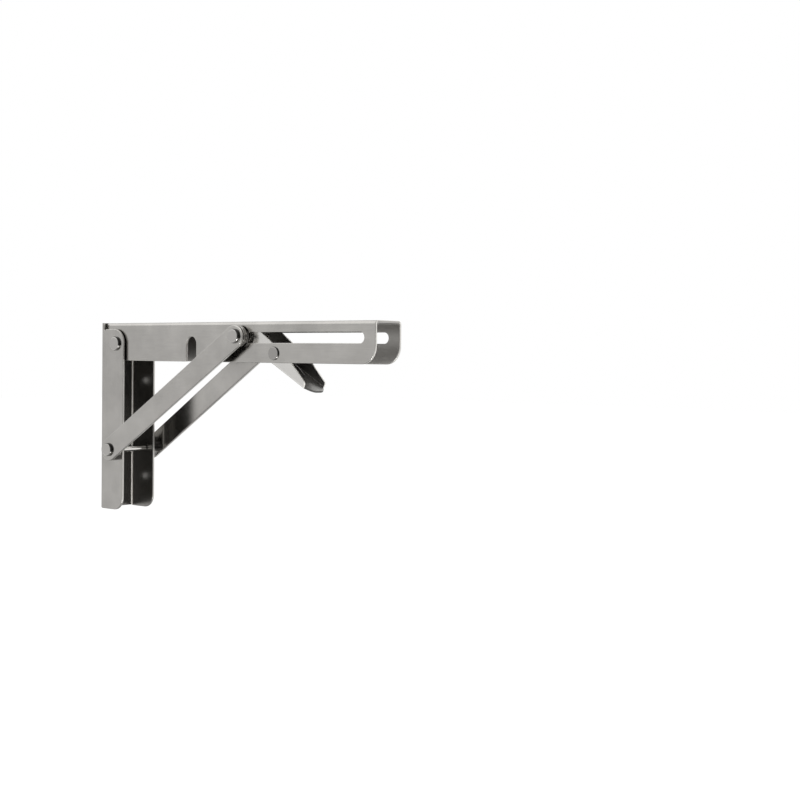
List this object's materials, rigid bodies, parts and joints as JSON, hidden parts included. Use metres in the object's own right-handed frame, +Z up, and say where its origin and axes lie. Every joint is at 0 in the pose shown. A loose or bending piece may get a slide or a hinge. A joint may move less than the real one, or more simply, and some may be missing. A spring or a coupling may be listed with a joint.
{
  "type": "folding shelf bracket",
  "caption": "Folding shelf bracket: a wall channel, a hinged shelf channel held level by a strut linkage sliding in a long slot, and a sprung release lever that lets it fold down.",
  "frame": {"origin": "midway between the two wall screw holes, on the back face that lies on the wall", "axes": "+X out from the wall along the open shelf arm, +Y along the wall, +Z up; the left-hand strut is on the -Y side"},
  "size_m": [0.3065, 0.0534, 0.158],
  "materials": {
    "sheet": "brushed stainless sheet",
    "strip": "brushed stainless strip with rolled edges",
    "rivet": "polished headed rivet",
    "turned": "turned steel",
    "wire": "drawn spring wire"
  },
  "bodies": {
    "base": {"wall_channel": "sheet", "pivot_rivet_left": "rivet", "pivot_rivet_right": "rivet"},
    "arm": {"shelf_channel": "sheet", "lever_pin": "rivet", "lever_washer_left": "turned", "lever_washer_right": "turned", "lever_spring": "wire"},
    "struts": {"strut_left": "strip", "strut_right": "strip", "strut_axle": "rivet", "axle_spacer_left": "turned", "axle_spacer_right": "turned", "tip_rivet_left": "rivet", "tip_rivet_right": "rivet"},
    "slot_pins": {"slot_pin_left": "turned", "slot_pin_right": "turned", "slot_bush_left": "turned", "slot_bush_right": "turned"},
    "release_lever": {"release_lever": "sheet"}
  },
  "joints": [
    {"name": "arm_fold", "type": "hinge", "parent": "base", "child": "arm", "pos_m": [0.0195, 0, 0.0736], "axis": [0, 1, 0], "range_deg": [0, 90]},
    {"name": "strut_swing", "type": "hinge", "parent": "base", "child": "struts", "pos_m": [0.0195, 0, -0.0158], "axis": [0, 1, 0], "range_deg": [0, 120.7]},
    {"name": "pin_slide", "type": "slide", "parent": "arm", "child": "slot_pins", "axis": [1, 0, 0], "range_m": [0, 0.1173]},
    {"name": "lever_press", "type": "hinge", "parent": "arm", "child": "release_lever", "pos_m": [0.205, 0, 0.0665], "axis": [0, -1, 0], "range_deg": [0, 28], "stiffness_Nm_per_rad": 0.12, "springref_deg": -22.92, "deforming": ["lever_spring"]}
  ],
  "couplings": [
    {"joint": "strut_swing", "follows": "arm_fold", "ratio": 1.3408},
    {"joint": "pin_slide", "follows": "arm_fold", "m_per_rad": 0.07462}
  ]
}
